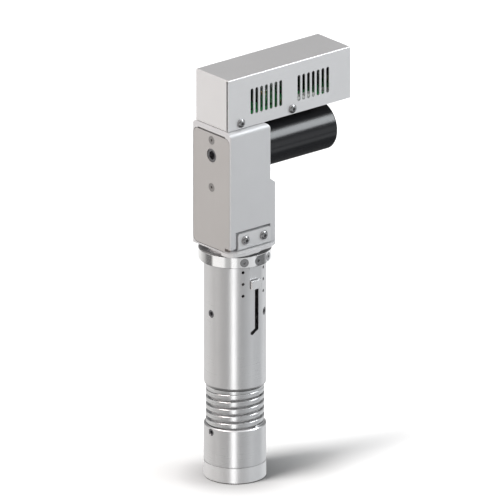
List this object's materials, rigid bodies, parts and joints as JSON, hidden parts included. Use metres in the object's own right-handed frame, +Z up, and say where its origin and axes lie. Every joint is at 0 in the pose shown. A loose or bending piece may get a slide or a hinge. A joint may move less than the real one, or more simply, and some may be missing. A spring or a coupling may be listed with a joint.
{
  "type": "right-angle gear drive unit",
  "caption": "Slim right-angle gear drive: a motor over a boxy gear housing drives a spindle down a long round clamping tube with a sprung nose.",
  "frame": {"origin": "centre of the nose's bottom face, on the tube axis", "axes": "+Z up the tube, +X the way the motor points, -X the side with the cover plate"},
  "size_m": [0.1371, 0.0597, 0.3453],
  "materials": {
    "housing_metal": "satin",
    "plate_metal": "satin",
    "screw_steel": "satin",
    "plate_screw_steel": "satin",
    "bracket_steel": "satin",
    "guide_steel": "satin",
    "dark_steel": "satin",
    "shaft_steel": "ground",
    "gear_steel": "machined",
    "magnet": "matte",
    "winding": "wound",
    "motor_black": "satin black",
    "bearing_steel": "ground",
    "polished_ring": "polished",
    "tube_metal": "satin",
    "liner_steel": "satin",
    "spring_steel": "satin",
    "bronze": "satin",
    "cap_metal": "fine satin",
    "seal_rubber": "matte",
    "cover_metal": "satin",
    "board_green": "solder mask",
    "brass_parts": "satin",
    "black_plastic": "matte",
    "white_plastic": "matte",
    "connector_metal": "satin"
  },
  "bodies": {
    "frame": {"gear_housing": "housing_metal", "front_cover_plate": "plate_metal", "front_plate_screws": "plate_screw_steel", "motor_stator": "winding", "motor_can": "motor_black", "motor_flange": "motor_black", "motor_bearings": "bearing_steel", "motor_screws": "dark_steel", "front_bearing_plate": "housing_metal", "front_bearing": "bearing_steel", "input_bearings": "bearing_steel", "ring_gear": "gear_steel", "gearbox_flange": "housing_metal", "output_bearings": "bearing_steel", "retaining_bracket": "bracket_steel", "bracket_screws": "screw_steel", "clamp_ring": "polished_ring", "clamp_ring_screws": "screw_steel", "outer_tube": "tube_metal", "tube_liner": "liner_steel", "tube_set_screws": "dark_steel", "clutch_return_spring": "spring_steel", "drive_shaft_bearing": "bearing_steel", "tube_end_bush": "bronze", "nose_spring": "spring_steel", "electronics_cover": "cover_metal", "cover_screws": "screw_steel", "electronics_chassis": "plate_metal", "chassis_screws": "screw_steel", "circuit_board": "board_green", "board_standoffs": "brass_parts", "board_components": "black_plastic", "board_connectors": "white_plastic", "power_inlet": "connector_metal"},
    "rotor": {"motor_shaft": "shaft_steel", "bevel_pinion": "gear_steel", "motor_magnet_core": "magnet", "manual_drive_hub": "dark_steel"},
    "input": {"bevel_wheel": "gear_steel", "input_shaft": "shaft_steel"},
    "carrier_1": {"stage1_carrier": "gear_steel"},
    "planet_1a": {"stage1_planet_1": "gear_steel"},
    "planet_1b": {"stage1_planet_2": "gear_steel"},
    "planet_1c": {"stage1_planet_3": "gear_steel"},
    "output": {"output_carrier": "gear_steel"},
    "planet_2a": {"stage2_planet_1": "gear_steel"},
    "planet_2b": {"stage2_planet_2": "gear_steel"},
    "planet_2c": {"stage2_planet_3": "gear_steel"},
    "slider": {"release_slider": "bracket_steel", "shift_ring": "gear_steel"},
    "clutch": {"clutch_sleeve": "gear_steel"},
    "drive": {"drive_shaft": "shaft_steel"},
    "nose": {"lower_sleeve": "tube_metal", "sleeve_set_screws": "dark_steel", "guide_sleeve": "guide_steel", "nose_cap": "cap_metal", "nose_seal": "seal_rubber", "spindle_bushes": "bronze"},
    "spindle": {"output_spindle": "shaft_steel"}
  },
  "joints": [
    {"name": "motor_spin", "type": "hinge", "parent": "frame", "child": "rotor", "pos_m": [0, 0, 0.2768], "axis": [1, 0, 0], "continuous": true},
    {"name": "input_spin", "type": "hinge", "parent": "frame", "child": "input", "pos_m": [0, 0, 0.25], "axis": [0, 0, 1], "continuous": true},
    {"name": "carrier_1_spin", "type": "hinge", "parent": "frame", "child": "carrier_1", "pos_m": [0, 0, 0.228], "axis": [0, 0, 1], "continuous": true},
    {"name": "planet_1a_spin", "type": "hinge", "parent": "carrier_1", "child": "planet_1a", "pos_m": [0.012, 0, 0.2345], "axis": [0, 0, 1], "continuous": true},
    {"name": "planet_1b_spin", "type": "hinge", "parent": "carrier_1", "child": "planet_1b", "pos_m": [-0.006, 0.01039, 0.2345], "axis": [0, 0, 1], "continuous": true},
    {"name": "planet_1c_spin", "type": "hinge", "parent": "carrier_1", "child": "planet_1c", "pos_m": [-0.006, -0.01039, 0.2345], "axis": [0, 0, 1], "continuous": true},
    {"name": "output_spin", "type": "hinge", "parent": "frame", "child": "output", "pos_m": [0, 0, 0.2], "axis": [0, 0, 1], "continuous": true},
    {"name": "planet_2a_spin", "type": "hinge", "parent": "output", "child": "planet_2a", "pos_m": [0.012, 0, 0.2221], "axis": [0, 0, 1], "continuous": true},
    {"name": "planet_2b_spin", "type": "hinge", "parent": "output", "child": "planet_2b", "pos_m": [-0.006, 0.01039, 0.2221], "axis": [0, 0, 1], "continuous": true},
    {"name": "planet_2c_spin", "type": "hinge", "parent": "output", "child": "planet_2c", "pos_m": [-0.006, -0.01039, 0.2221], "axis": [0, 0, 1], "continuous": true},
    {"name": "release_slide", "type": "slide", "parent": "frame", "child": "slider", "axis": [0, 0, -1], "range_m": [0, 0.034], "stiffness_N_per_m": 60, "springref_m": -0.02, "deforming": ["clutch_return_spring"]},
    {"name": "clutch_spin", "type": "hinge", "parent": "slider", "child": "clutch", "pos_m": [0, 0, 0.16], "axis": [0, 0, 1], "continuous": true},
    {"name": "drive_spin", "type": "hinge", "parent": "frame", "child": "drive", "pos_m": [0, 0, 0.107], "axis": [0, 0, 1], "continuous": true},
    {"name": "nose_slide", "type": "slide", "parent": "frame", "child": "nose", "axis": [0, 0, 1], "range_m": [0, 0.01], "stiffness_N_per_m": 3000, "springref_m": -0.02, "deforming": ["nose_spring"]},
    {"name": "spindle_spin", "type": "hinge", "parent": "nose", "child": "spindle", "pos_m": [0, 0, 0.03], "axis": [0, 0, 1], "continuous": true}
  ],
  "couplings": [
    {"joint": "input_spin", "follows": "motor_spin", "ratio": -0.5},
    {"joint": "carrier_1_spin", "follows": "motor_spin", "ratio": -0.125},
    {"joint": "planet_1a_spin", "follows": "motor_spin", "ratio": 0.375},
    {"joint": "planet_1b_spin", "follows": "motor_spin", "ratio": 0.375},
    {"joint": "planet_1c_spin", "follows": "motor_spin", "ratio": 0.375},
    {"joint": "output_spin", "follows": "motor_spin", "ratio": -0.03125},
    {"joint": "planet_2a_spin", "follows": "motor_spin", "ratio": 0.09375},
    {"joint": "planet_2b_spin", "follows": "motor_spin", "ratio": 0.09375},
    {"joint": "planet_2c_spin", "follows": "motor_spin", "ratio": 0.09375},
    {"joint": "clutch_spin", "follows": "motor_spin", "ratio": -0.03125},
    {"joint": "drive_spin", "follows": "motor_spin", "ratio": -0.03125},
    {"joint": "spindle_spin", "follows": "motor_spin", "ratio": -0.03125}
  ]
}
